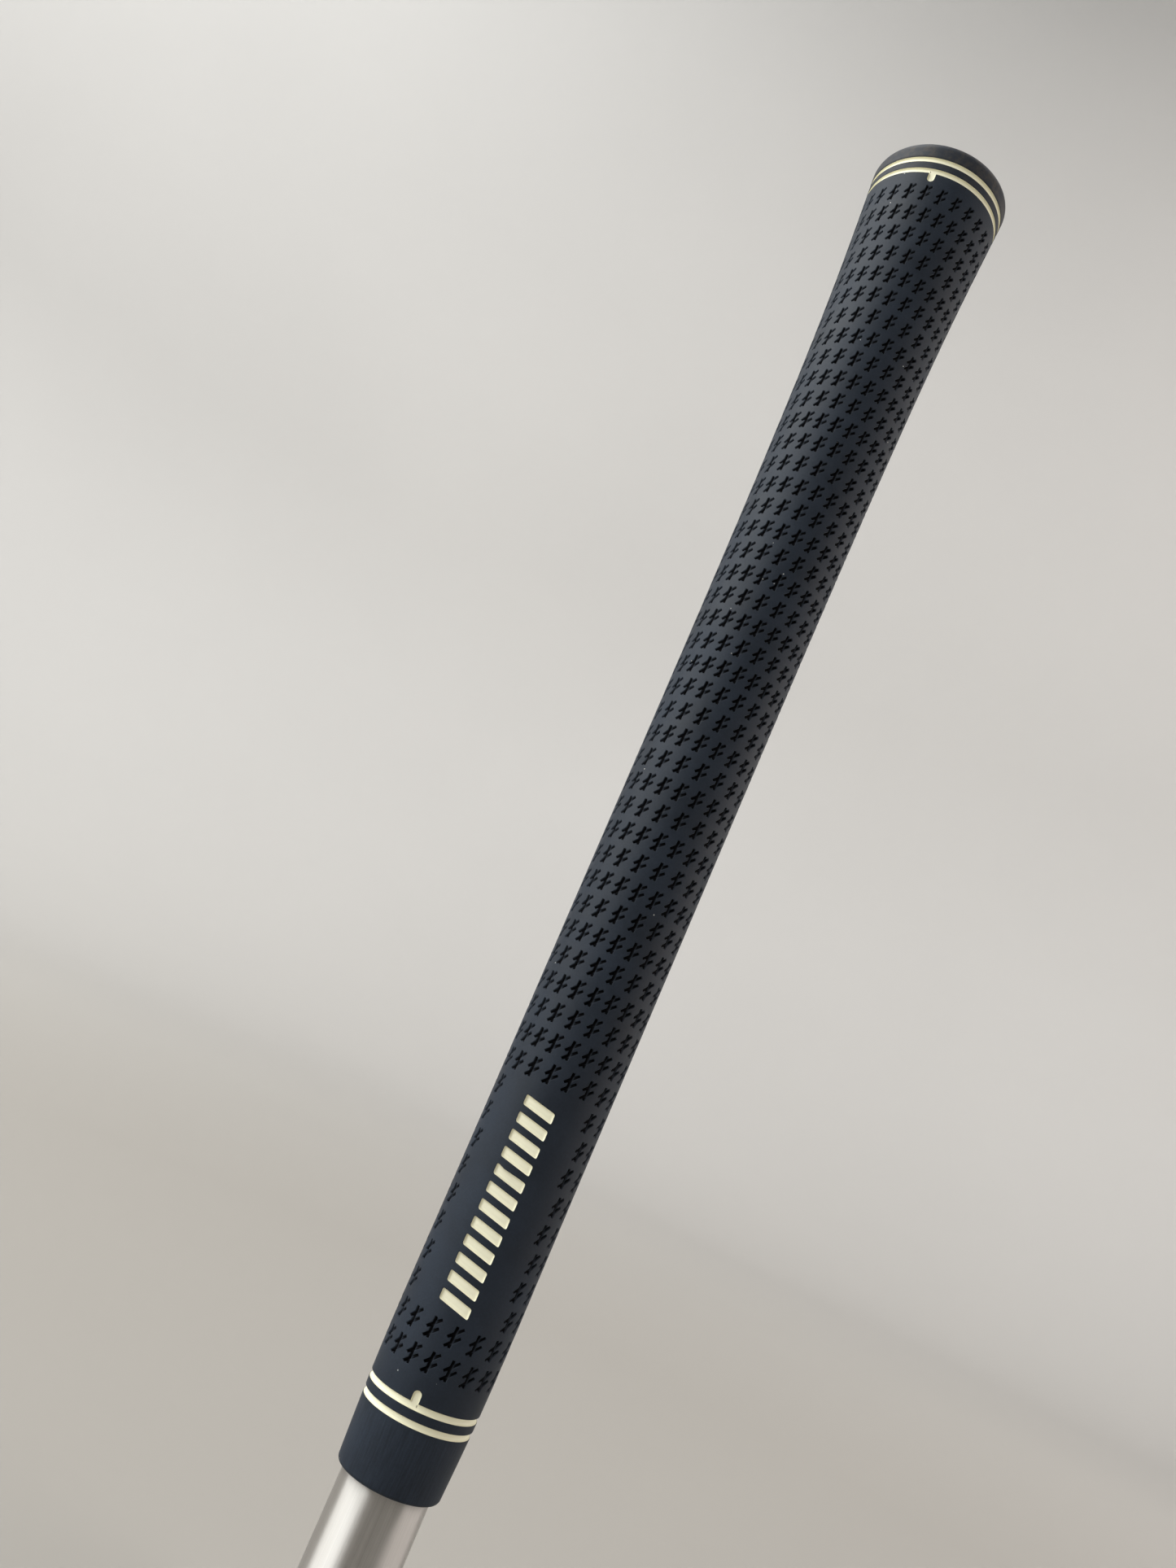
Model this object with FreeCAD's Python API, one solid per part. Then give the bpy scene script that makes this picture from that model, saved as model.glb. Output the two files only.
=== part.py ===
import FreeCAD, Part
import math
import os

# Golf club grip: a moulded rubber sleeve with a bonded end cap, pulled over
# double-sided tape onto the butt section of a tubular steel shaft.
# Millimetres. The axis of the shaft is Z, the butt is up, and the origin is
# the centre of the shaft's lower free end. Heights in the "grip" group are
# measured from the mouth, the open lower end of the rubber.

Vector = FreeCAD.Vector
UP = Vector(0, 0, 1)
ORIGIN = Vector(0, 0, 0)

# --- shaft -----------------------------------------------------------------
SHAFT_RADIUS = 7.62            # 0.600 inch butt diameter
SHAFT_WALL = 0.50
SHAFT_EXPOSED = 30.0           # bare steel below the mouth
SHAFT_EDGE_BREAK = 0.12        # deburred edges of the cut ends

# --- double-sided tape -----------------------------------------------------
TAPE_THICKNESS = 0.15
TAPE_SEAM = 0.8                # gap left between the two lengthwise edges
TAPE_SETBACK = 2.0             # bare steel between the mouth and the tape
TAPE_TAIL = 12.0               # length tucked down inside the shaft's bore
TAPE_SEAM_AZIMUTH = 90.0

# --- grip outline: heights from the mouth, rubber's thickness over the tape -
MOUTH_WALL = 1.15
NECK_HEIGHT = 13.5
NECK_WALL = 1.81
LOWER_HAND_HEIGHT = 36.0
LOWER_HAND_WALL = 2.09
MIDDLE_HEIGHT = 96.0
MIDDLE_WALL = 2.43
UPPER_HAND_HEIGHT = 156.0
UPPER_HAND_WALL = 2.87
FLARE_START_HEIGHT = 204.0
FLARE_START_WALL = 3.63
FLARE_HEIGHT = 236.0
FLARE_WALL = 4.77
BUTT_HEIGHT = 259.4
BUTT_WALL = 6.19
MOUTH_ROUNDING = 0.55

# --- end cap ---------------------------------------------------------------
CAP_EDGE_ROUNDING = 2.0
CAP_DOME_SLOPE = 10.0          # degrees, where the dome leaves the rounding
CAP_FLOOR_THICKNESS = 5.5      # crown to the face that meets the shaft's end
CAP_SKIRT_LENGTH = 17.0        # hard skirt moulded inside the rubber
CAP_SKIRT_WALL = 1.3
CAP_DISH_RADIUS = 9.0          # shallow round recess in the end face
CAP_DISH_DEPTH = 0.3
VENT_RADIUS = 1.6              # lets air and solvent out as the grip goes on

# --- painted ring grooves and index ticks ----------------------------------
GROOVE_WIDTH = 1.05
GROOVE_DEPTH = 0.55
PAINT_SUNK = 0.18              # how far the paint lies below the rubber
RING_PITCH = 2.5
UPPER_OUTER_DROP = 2.65        # outermost ring below the start of the rounding
LOWER_OUTER_HEIGHT = 11.1
TICK_WIDTH = 1.4
TICK_REACH = 2.35              # ring centre line to the tick's round tip
UPPER_TICK_AZIMUTH = -102.4
LOWER_TICK_AZIMUTH = -95.5     # the rubber is wound a little on the shaft

# --- label: a plain scale of slanted bars ----------------------------------
LABEL_BARS = 12
LABEL_LENGTH = 35.6
LABEL_MIDDLE_HEIGHT = 45.9
LABEL_AZIMUTH = -97.3
BAR_SPAN = 5.7                 # along the circumference
BAR_THICKNESS = 1.75
BAR_SLANT = 12.0               # degrees
BAR_CORNER = 0.3


def mouth_level():
    """Height of the mouth above the shaft's free end."""
    return SHAFT_EXPOSED


def butt_end_points(inset):
    """Rounded edge and shallow dome that close the outline at the butt.

    The rounding leaves the outline straight up and turns until it slopes as
    the dome does; the dome is one arc from there to the crown on the axis.
    """
    slope = math.radians(CAP_DOME_SLOPE)
    rounding = CAP_EDGE_ROUNDING
    edge = butt_radius() - inset
    level = mouth_level() + BUTT_HEIGHT

    def on_rounding(turn):
        return Vector(edge - rounding * (1 - math.cos(turn)), 0, level + rounding * math.sin(turn))

    shoulder = on_rounding(math.radians(90) - slope)
    dome_radius = shoulder.x / math.sin(slope)
    centre = shoulder.z - dome_radius * math.cos(slope)
    half = slope / 2
    dome = Vector(dome_radius * math.sin(half), 0, centre + dome_radius * math.cos(half))
    middle = on_rounding((math.radians(90) - slope) / 2)
    return on_rounding(0), middle, shoulder, dome, Vector(0, 0, centre + dome_radius)


def crown_level():
    """Height of the cap's highest point."""
    return butt_end_points(0)[-1].z


def cap_floor_level():
    """Height of the cap's inner face, which the taped shaft end meets."""
    return crown_level() - CAP_FLOOR_THICKNESS


def shaft_top():
    """Height of the shaft's butt end, one layer of tape below the cap."""
    return cap_floor_level() - TAPE_THICKNESS


def upper_ring_level():
    return mouth_level() + BUTT_HEIGHT - UPPER_OUTER_DROP


def lower_ring_level():
    return mouth_level() + LOWER_OUTER_HEIGHT


def cap_joint_level():
    """The cap meets the sleeve in the middle of the outermost ring groove."""
    return upper_ring_level()


def skirt_end_level():
    return cap_joint_level() - CAP_SKIRT_LENGTH


def tape_outer_radius():
    return SHAFT_RADIUS + TAPE_THICKNESS


def butt_radius():
    """The grip's largest radius, where its outline meets the rounding."""
    return tape_outer_radius() + BUTT_WALL


def skirt_outer_radius():
    return tape_outer_radius() + CAP_SKIRT_WALL


def outline_curve(inset):
    """The grip's outer line from mouth to butt, moved inwards by inset."""
    stations = (
        (0.0, MOUTH_WALL),
        (NECK_HEIGHT, NECK_WALL),
        (LOWER_HAND_HEIGHT, LOWER_HAND_WALL),
        (MIDDLE_HEIGHT, MIDDLE_WALL),
        (UPPER_HAND_HEIGHT, UPPER_HAND_WALL),
        (FLARE_START_HEIGHT, FLARE_START_WALL),
        (FLARE_HEIGHT, FLARE_WALL),
        (BUTT_HEIGHT, BUTT_WALL),
    )
    core = tape_outer_radius() - inset
    points = [Vector(core + wall, 0, mouth_level() + z) for z, wall in stations]
    curve = Part.BSplineCurve()
    curve.interpolate(points)
    return curve


def revolve(edges):
    """Solid of revolution about Z from a closed loop of edges."""
    face = Part.Face(Part.Wire(Part.__sortEdges__(edges)))
    solid = face.revolve(ORIGIN, UP, 360)
    return Part.makeSolid(solid) if solid.ShapeType != "Solid" else solid


def straight(*points):
    """Straight edges through (radius, height) points."""
    corners = [Vector(r, 0, z) for r, z in points]
    return [Part.makeLine(a, b) for a, b in zip(corners, corners[1:])]


def grip_blank(inset):
    """Solid bar with the grip's outer line, from the mouth to the crown."""
    curve = outline_curve(inset)
    low = curve.StartPoint
    edge, middle, shoulder, dome, crown = butt_end_points(inset)
    edges = [
        curve.toShape(),
        Part.Arc(edge, middle, shoulder).toShape(),
        Part.Arc(shoulder, dome, crown).toShape(),
    ]
    edges += straight((0, crown.z), (0, low.z), (low.x, low.z))
    return revolve(edges)


def rod(radius, low, high):
    """Round bar on the axis between two levels."""
    return Part.makeCylinder(radius, high - low, Vector(0, 0, low))


def slab(low, high):
    """Disc wider than the grip, to keep what lies between two levels."""
    return rod(2 * butt_radius(), low, high)


def aimed(shape, azimuth):
    """Turn a tool drawn around +X so that it points to the azimuth."""
    turned = shape.copy()
    turned.rotate(ORIGIN, UP, azimuth)
    return turned


def single(shape):
    """The one solid that a boolean operation must leave."""
    if len(shape.Solids) != 1:
        raise RuntimeError("expected one solid, got %d" % len(shape.Solids))
    return shape.Solids[0]


def tick_tool(level, reach, azimuth):
    """Round-ended radial peg over an index tick. Reach is signed in Z."""
    half = TICK_WIDTH / 2
    way = math.copysign(1, reach)
    tip = level + reach - way * half
    low = min(level, tip)
    box = Part.makeBox(2 * butt_radius(), TICK_WIDTH, abs(tip - level), Vector(0, -half, low))
    end = Part.makeCylinder(half, 2 * butt_radius(), Vector(0, 0, tip), Vector(1, 0, 0))
    return aimed(box.fuse(end).removeSplitter(), azimuth)


def bar_tool(level):
    """Slanted, round-cornered radial prism over one bar of the label."""
    half_span = BAR_SPAN / 2
    half_bar = BAR_THICKNESS / 2
    drop = half_span * math.tan(math.radians(BAR_SLANT))
    corners = [
        Vector(0, -half_span, level + drop - half_bar),
        Vector(0, half_span, level - drop - half_bar),
        Vector(0, half_span, level - drop + half_bar),
        Vector(0, -half_span, level + drop + half_bar),
    ]
    outline = Part.makePolygon(corners + corners[:1])
    prism = Part.Face(outline).extrude(Vector(2 * butt_radius(), 0, 0))
    radial = [e for e in prism.Edges if abs(e.tangentAt(e.FirstParameter).x) > 0.9]
    return aimed(prism.makeFillet(BAR_CORNER, radial), LABEL_AZIMUTH)


def ring_tool(level):
    return slab(level - GROOVE_WIDTH / 2, level + GROOVE_WIDTH / 2)


def label_levels():
    """Middle heights of the bars, evenly spaced over the label's length."""
    bar_height = BAR_THICKNESS + BAR_SPAN * math.tan(math.radians(BAR_SLANT))
    pitch = (LABEL_LENGTH - bar_height) / (LABEL_BARS - 1)
    start = mouth_level() + LABEL_MIDDLE_HEIGHT - pitch * (LABEL_BARS - 1) / 2
    return [start + pitch * i for i in range(LABEL_BARS)]


def paint_tools():
    """Tools over every painted recess, by the name of its paint."""
    inner_upper = upper_ring_level() - RING_PITCH
    inner_lower = lower_ring_level() + RING_PITCH
    upper_tick = tick_tool(inner_upper, -TICK_REACH, UPPER_TICK_AZIMUTH)
    lower_tick = tick_tool(inner_lower, TICK_REACH, LOWER_TICK_AZIMUTH)
    return {
        "upper_outer_band": [ring_tool(upper_ring_level())],
        "upper_index_band": [ring_tool(inner_upper).fuse(upper_tick)],
        "lower_index_band": [ring_tool(inner_lower).fuse(lower_tick)],
        "lower_outer_band": [ring_tool(lower_ring_level())],
        "label_marks": [bar_tool(level) for level in label_levels()],
    }


def make_shaft():
    """Steel butt section, open at both ends, with deburred edges."""
    bore = rod(SHAFT_RADIUS - SHAFT_WALL, 0, shaft_top())
    body = rod(SHAFT_RADIUS, 0, shaft_top()).cut(bore)
    rims = [e for e in body.Edges if e.Closed]
    return single(body.makeChamfer(SHAFT_EDGE_BREAK, rims))


def make_tape():
    """Tape over the shaft, across its rim and down inside its bore."""
    bore = SHAFT_RADIUS - SHAFT_WALL
    low = mouth_level() + TAPE_SETBACK
    rim = shaft_top()
    top = cap_floor_level()
    tail = rim - TAPE_TAIL
    section = straight(
        (SHAFT_RADIUS, low), (SHAFT_RADIUS, rim), (bore, rim), (bore, tail),
        (bore - TAPE_THICKNESS, tail), (bore - TAPE_THICKNESS, top),
        (tape_outer_radius(), top), (tape_outer_radius(), low), (SHAFT_RADIUS, low),
    )
    wrap = revolve(section)
    seam = Part.makeBox(2 * SHAFT_RADIUS, TAPE_SEAM, top - low + 2, Vector(0, -TAPE_SEAM / 2, low - 1))
    return single(wrap.cut(aimed(seam, TAPE_SEAM_AZIMUTH)))


def make_cap(blank, painted):
    """Hard rubber end: thick disc, inner skirt, shallow dish and vent."""
    top = crown_level()
    disc = blank.common(slab(cap_joint_level(), top))
    skirt = rod(skirt_outer_radius(), skirt_end_level(), cap_joint_level())
    seat = rod(tape_outer_radius(), skirt_end_level(), cap_floor_level())
    vent = rod(VENT_RADIUS, skirt_end_level(), top)
    lowered = blank.copy()
    lowered.translate(Vector(0, 0, -CAP_DISH_DEPTH))
    dish = rod(CAP_DISH_RADIUS, cap_floor_level(), top).cut(lowered)
    cap = disc.fuse(skirt).cut(seat).cut(vent).cut(dish)
    return single(cap.cut(painted))


def make_sleeve(blank, painted):
    """Soft rubber tube over tape and skirt, with its painted recesses."""
    low = mouth_level()
    body = blank.common(slab(low, cap_joint_level()))
    rim = [e for e in body.Edges if e.Closed and abs(e.BoundBox.ZMax - low) < 1e-6]
    body = body.makeFillet(MOUTH_ROUNDING, rim[:1])
    tape_start = low + TAPE_SETBACK
    lip = rod(SHAFT_RADIUS, low, tape_start)
    seat = rod(tape_outer_radius(), tape_start, cap_joint_level())
    pocket = rod(skirt_outer_radius(), skirt_end_level(), cap_joint_level())
    return single(body.cut(lip).cut(seat).cut(pocket).cut(painted))


def make_parts():
    """Every sub-part by node name, each a list of separate solids."""
    blank = grip_blank(0)
    groove_floor = grip_blank(GROOVE_DEPTH)
    paint_face = grip_blank(PAINT_SUNK)
    tools = paint_tools()
    every_tool = [tool for group in tools.values() for tool in group]
    painted = Part.makeCompound([tool.cut(groove_floor) for tool in every_tool])
    parts = {
        "shaft": [make_shaft()],
        "grip_tape": [make_tape()],
        "grip_sleeve": [make_sleeve(blank, painted)],
        "butt_cap": [make_cap(blank, painted)],
    }
    for name, group in tools.items():
        parts[name] = [single(tool.common(paint_face).cut(groove_floor)) for tool in group]
    return parts


os.makedirs("parts", exist_ok=True)
for node, solids in make_parts().items():
    shape = solids[0] if len(solids) == 1 else Part.makeCompound(solids)
    shape.exportStep("parts/%s.step" % node)
    print(node, len(solids), "solid(s), volume %.1f mm3" % sum(s.Volume for s in solids))
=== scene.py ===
"""Moulded rubber golf grip on a tubular steel shaft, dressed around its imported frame.

Everything is in metres, in the frame's own axes: the shaft's axis is Z, its lower
free end is the origin and the butt is up. Heights along the grip are measured
from the mouth, the open lower end of the rubber.
"""

import math

import bpy
import numpy as np
from bpy.props import FloatProperty, FloatVectorProperty, IntProperty, PointerProperty
from mathutils import Matrix, Vector, geometry


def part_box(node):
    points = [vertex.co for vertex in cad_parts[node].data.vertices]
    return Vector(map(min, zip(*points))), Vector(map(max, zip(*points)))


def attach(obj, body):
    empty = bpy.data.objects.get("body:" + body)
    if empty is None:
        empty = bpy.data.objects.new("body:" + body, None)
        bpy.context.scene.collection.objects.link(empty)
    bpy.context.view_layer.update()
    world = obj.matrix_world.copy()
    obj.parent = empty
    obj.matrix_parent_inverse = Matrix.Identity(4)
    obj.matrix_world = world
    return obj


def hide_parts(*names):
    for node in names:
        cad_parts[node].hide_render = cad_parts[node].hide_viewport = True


bl_info = {
    "name": "Golf Grip",
    "version": (1, 0, 0),
    "blender": (4, 5, 0),
    "location": "View3D > Sidebar > Golf Grip",
    "description": "Builds a moulded rubber golf grip, its paint, end cap, tape and steel shaft",
    "category": "Object",
}

MM = 0.001
TURN = 2 * math.pi
BLACK, WHITE = (0.0, 0.0, 0.0, 1.0), (1.0, 1.0, 1.0, 1.0)

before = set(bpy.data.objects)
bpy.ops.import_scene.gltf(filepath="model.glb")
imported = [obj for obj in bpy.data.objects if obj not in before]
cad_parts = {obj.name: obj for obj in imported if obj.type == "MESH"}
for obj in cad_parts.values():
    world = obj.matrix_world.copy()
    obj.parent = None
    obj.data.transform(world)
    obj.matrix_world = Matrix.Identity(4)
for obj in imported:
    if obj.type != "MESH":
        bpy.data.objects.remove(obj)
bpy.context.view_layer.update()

# Levels and radii that the frame's solids give.
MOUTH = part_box("grip_sleeve")[0].z
SHAFT_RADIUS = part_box("shaft")[1].x
SHAFT_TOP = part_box("shaft")[1].z
CORE_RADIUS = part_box("grip_tape")[1].x
BUTT_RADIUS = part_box("butt_cap")[1].x
CAP_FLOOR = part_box("grip_tape")[1].z
SKIRT_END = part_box("butt_cap")[0].z

# Stations of the grip's outer line: height from the mouth and radius.
OUTLINE_HEIGHTS = np.array([0.0, 13.5, 36.0, 96.0, 156.0, 204.0, 236.0, 259.4]) * MM
OUTLINE_RADII = np.array([8.92, 9.58, 9.86, 10.20, 10.64, 11.40, 12.54, 13.96]) * MM

# The rubber is wound a little on the shaft: azimuth of its front line by height.
WOUND_HEIGHTS = np.array([11.0, 20.4, 70.0, 98.0, 130.0]) * MM
WOUND_AZIMUTHS = np.radians([-95.5, -97.0, -99.9, -101.3, -102.5])

# The label: a plain scale of slanted bars on a field that is left smooth.
LABEL_BARS = 12
LABEL_AZIMUTH = math.radians(-97.3)
BAR_SLANT = math.radians(12.0)
BAR_CORNER = 0.3 * MM
LEAST_BAR_CORNER = 0.12 * MM
FIELD_FIRST_ROW, FIELD_LAST_ROW = 39, 46
FIELD_HALF_ANGLE = 50.0
FIELD_STEP = 5.0
FIELD_CLEARANCE = 6.0

# The steel tube, and the inner sizes of the rubber and its cap.
SHAFT_WALL = 0.50 * MM
EDGE_BREAK = 0.12 * MM
TAPE_SETBACK = 2.0 * MM
SKIRT_RADIUS = CORE_RADIUS + 1.3 * MM
CAP_ROUNDING = 2.0 * MM
CAP_SLOPE = 10.0
CAP_DISH_RADIUS = 9.0 * MM
CAP_DISH_DEPTH = 0.3 * MM
VENT_RADIUS = 1.6 * MM

# Counts of marks around the grip by row from the butt, in two series: even rows
# and odd rows. Each count holds up to its last row, and the final one for the rest.
EVEN_COUNTS, EVEN_LAST_ROWS = np.array([26, 22, 18]), [4, 22]
ODD_COUNTS, ODD_LAST_ROWS = np.array([28, 24, 20, 16]), [1, 11, 37]

# Strokes of one moulded mark, ends of their centre lines: around the grip, up.
UPRIGHT = np.array([[-0.08, -1.55], [0.0, 1.45]]) * MM
UPPER_STROKE = np.array([[-0.83, -0.13], [1.0, 1.45]]) * MM
LOWER_STROKE = np.array([[-0.83, -1.55], [1.0, 0.03]]) * MM
# A free end of a stroke, in shares of its half width: how far it goes on past
# the centre line's end, and how wide it still is there.
END_REACH, END_WIDTH = 0.75, 0.78
# The marks are narrower around the grip near the butt: heights and shares of their width.
NARROWING_HEIGHTS, NARROWING = np.array([170.0, 250.0]) * MM, [1.0, 0.86]
# Depth of a mark's floor at each corner of its outline, as a share of the full depth. The
# share also sets the painted shade on the floor: lighter where shallow, darker where deep.
MARK_DEPTHS = np.array([
    1.0, 1.0, 1.0, 1.0, 1.0, 1.0, 1.0, 1.0, 1.0, 0.7, 0.9, 0.9, 0.14, 1.0, 1.0, 0.14, 0.2, 1.0, 1.0, 0.14,
])
# A mark's walls lean inwards by this much down to the floor.
DRAFT = 0.05 * MM

# Heights where the collar's buffing marks fade out and are at their full, and where
# the browning by hands and bags begins and is at its full.
BUFFING_GONE, BUFFING_FULL = 11.0 * MM, 9.5 * MM
BROWNING_START, BROWNING_FULL = 252.6 * MM, 258.0 * MM

# How finely the skin, the rings and the turned pieces are divided.
RING_COLUMNS, TICK_COLUMNS = 96, 11
GAP_COLUMNS = 72
CAP_COLUMNS = 192
SHAFT_COLUMNS, SHAFT_LEVELS = 256, 24
# The skin is filled in stretches, cut along the plain rings under these rows.
SKIN_CUTS = [7, 15, 23, 31, 37]

# Distances from the edge of the paint at which its dished face is worked out.
RING_INSETS = np.array([0.0, 0.03, 0.08, 0.15, 0.25, 0.38]) * MM
BAR_INSETS = np.array([0.0, 0.03, 0.08, 0.15, 0.25, 0.40, 0.66]) * MM

# The studio, a round floor that sweeps up into a wall, and the camera in it, in metres and degrees.
FLOOR_REACH = 1.4
SWEEP_RADIUS = 1.1
WALL_TOP = 3.4
# Where the floor's tone is full and where it is gone: the fade is painted light that lightens the sweep's
# foot
FLOOR_TONE_FULL, FLOOR_TONE_GONE = 0.4, 2.4
CAMERA_PLACE = (0.0, -0.22412, 0.09666)
CAMERA_TURN, CAMERA_TILT, CAMERA_ROLL = 4.197, 12.807, 24.178


def mm_property(name, description, default):
    """A length property whose default is given in millimetres."""
    return FloatProperty(
        name=name, description=description, default=default * MM, unit="LENGTH", precision=5, min=0.0
    )


def colour_property(name, description, code):
    """A colour property whose default is an sRGB hex code."""
    return FloatVectorProperty(
        name=name, description=description, default=linear(code), subtype="COLOR", size=4, min=0.0, max=1.0
    )


def linear(code):
    """Linear red, green, blue and full alpha of an sRGB hex code such as #1A2B3C."""
    parts = [int(code[i : i + 2], 16) / 255 for i in (1, 3, 5)]
    return (*[p / 12.92 if p <= 0.04045 else ((p + 0.055) / 1.055) ** 2.4 for p in parts], 1.0)


class GripSizes(bpy.types.PropertyGroup):
    """Sizes of the moulded pattern and the painted grooves."""

    rows: IntProperty(name="Rows", description="Rows of moulded marks", default=49, min=1)
    top_row: mm_property("Top row", "Height of the top row's middle", 249.3)
    row_pitch: mm_property("Row pitch", "Distance from row to row along the grip", 4.77)
    stroke_width: mm_property("Stroke width", "Width of a moulded stroke", 0.59)
    stroke_depth: mm_property("Stroke depth", "Depth of a mark at its deepest", 0.85)
    rim_round: mm_property("Rim rounding", "Width of the rounding along a recess's rim", 0.07)
    groove_width: mm_property("Groove width", "Width of a painted ring groove", 1.05)
    groove_depth: mm_property("Groove depth", "Depth of the painted recesses in the rubber", 0.5)
    ring_pitch: mm_property("Ring pitch", "Distance between the two rings of a pair", 2.5)
    upper_outer: mm_property("Upper outer ring", "Height of the ring nearest the butt", 256.75)
    lower_outer: mm_property("Lower outer ring", "Height of the ring nearest the mouth", 11.1)
    tick_width: mm_property("Tick width", "Width of an index tick", 1.4)
    tick_reach: mm_property("Tick reach", "Ring's middle to the tick's round tip", 2.35)
    paint_edge: mm_property("Paint edge", "Depth of the paint where it meets the rubber", 0.08)
    paint_dish: mm_property("Paint dish", "Depth of the paint at the middle of its groove", 0.45)
    bar_span: mm_property("Bar span", "Length of a label bar around the grip", 5.7)
    bar_thickness: mm_property("Bar thickness", "Upright thickness of a label bar", 1.75)
    mouth_round: mm_property("Mouth rounding", "Rounding of the rubber at the mouth", 0.55)


class GripColours(bpy.types.PropertyGroup):
    """Colours of the finishes."""

    rubber: colour_property("Rubber", "Dusty top surface of the moulded rubber", "#202833")
    # painted shade: the colour that the rubber darkens to down in its recesses
    rubber_recess_shade: colour_property("Rubber in recesses", "Painted shade on the rubber down in the recesses", "#030407")
    scuffs: colour_property("Scuffed rubber", "Rubber browned by handling at the butt", "#4A433C")
    dust: colour_property("Dust", "Grains of dust on the rubber", "#BCBCB8")
    paint: colour_property("Groove paint", "Cream enamel in the recesses", "#F3F0D6")
    # painted shade: the enamel's colour at its edges, beside the rubber walls
    paint_shade: colour_property("Groove paint at its edge", "Painted shade where the enamel meets the rubber", "#C4BE9A")
    steel: colour_property("Steel", "Nickel and chrome plate of the shaft", "#D2CFCB")
    tape: colour_property("Tape", "Crepe paper of the double-sided tape", "#D6CDB7")
    wall: colour_property("Wall", "Pale studio wall", "#C7C5C2")
    floor: colour_property("Floor", "Pale studio floor", "#9E9A94")


class StudioSettings(bpy.types.PropertyGroup):
    """Camera and lights."""

    lens: FloatProperty(name="Lens", description="Focal length, 36 mm sensor", default=29.14, unit="CAMERA")
    key: FloatProperty(name="Key light", description="Big light on the left", default=22.5, unit="POWER")
    fill: FloatProperty(name="Fill light", description="Small light on the right", default=3.0, unit="POWER")
    wash: FloatProperty(name="Wall wash", description="Light on the wall, left", default=75.0, unit="POWER")
    side: FloatProperty(name="Side wash", description="Light on the wall, right", default=24.0, unit="POWER")
    ambient: FloatProperty(name="Ambient", description="Strength of the sky over the wall", default=0.35)


class GripProject(bpy.types.PropertyGroup):
    """All that a user would change."""

    sizes: PointerProperty(type=GripSizes)
    colours: PointerProperty(type=GripColours)
    studio: PointerProperty(type=StudioSettings)


# --- form of the grip ---


def bends():
    """Second derivatives of the outer line at its stations.

    The line is a natural cubic spline: at each inner station the slopes of the
    two neighbouring pieces agree, which is one linear equation in three bends.
    """
    gap = np.diff(OUTLINE_HEIGHTS)
    slope = np.diff(OUTLINE_RADII) / gap
    system = np.eye(len(OUTLINE_HEIGHTS))
    inner = np.arange(1, len(OUTLINE_HEIGHTS) - 1)
    system[inner, inner - 1] = gap[:-1]
    system[inner, inner] = 2 * (gap[:-1] + gap[1:])
    system[inner, inner + 1] = gap[1:]
    right = np.zeros(len(OUTLINE_HEIGHTS))
    right[inner] = 6 * np.diff(slope)
    return np.linalg.solve(system, right)


BENDS = bends()


def outline(height):
    """Radius and slope of the grip's outer line: the spline piece that holds each height."""
    height = np.asarray(height, float)
    low = np.clip(np.searchsorted(OUTLINE_HEIGHTS, height) - 1, 0, len(OUTLINE_HEIGHTS) - 2)
    gap = OUTLINE_HEIGHTS[low + 1] - OUTLINE_HEIGHTS[low]
    after, before = height - OUTLINE_HEIGHTS[low], OUTLINE_HEIGHTS[low + 1] - height
    b0, b1 = BENDS[low], BENDS[low + 1]
    r0 = OUTLINE_RADII[low] / gap - b0 * gap / 6
    r1 = OUTLINE_RADII[low + 1] / gap - b1 * gap / 6
    radius = (b0 * before**3 + b1 * after**3) / (6 * gap) + r0 * before + r1 * after
    slope = (b1 * after**2 - b0 * before**2) / (2 * gap) + r1 - r0
    return radius, slope


def front(height):
    """Azimuth of the line that was straight when the rubber was moulded."""
    return np.interp(height, WOUND_HEIGHTS, WOUND_AZIMUTHS)


def on_axis(azimuth, radius, level):
    """Points at an azimuth, a distance from the axis and a level above the shaft's end."""
    azimuth, radius, level = np.broadcast_arrays(azimuth, radius, level)
    return np.stack([radius * np.cos(azimuth), radius * np.sin(azimuth), level], -1)


def on_grip(azimuth, height, depth=0.0):
    """Points on the grip's outer line, or the given depth under it."""
    return on_axis(azimuth, outline(height)[0] - depth, MOUTH + np.asarray(height))


def looking_out(azimuth, height):
    """Directions square to the grip's outer line."""
    slope = outline(height)[1]
    away = np.stack([np.cos(azimuth), np.sin(azimuth), -slope * np.ones_like(azimuth)], -1)
    return away / np.linalg.norm(away, axis=-1, keepdims=True)


def mitre(loop):
    """Inward direction at each corner of a loop that runs anticlockwise.

    The sum of the two neighbouring edges' inward normals, divided by one plus
    their cosine, moves both edges by the same distance.
    """
    edge = np.roll(loop, -1, 0) - loop
    inward = np.stack([-edge[:, 1], edge[:, 0]], 1)
    inward /= np.linalg.norm(inward, axis=1, keepdims=True)
    before = np.roll(inward, 1, 0)
    return (inward + before) / (1 + np.sum(inward * before, 1, keepdims=True))


def crossing(point_a, way_a, point_b, way_b):
    """Where two lines in the plane meet."""
    along = np.linalg.solve(np.stack([way_a, -way_b], 1), point_b - point_a)
    return point_a + way_a * along[0]


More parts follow.
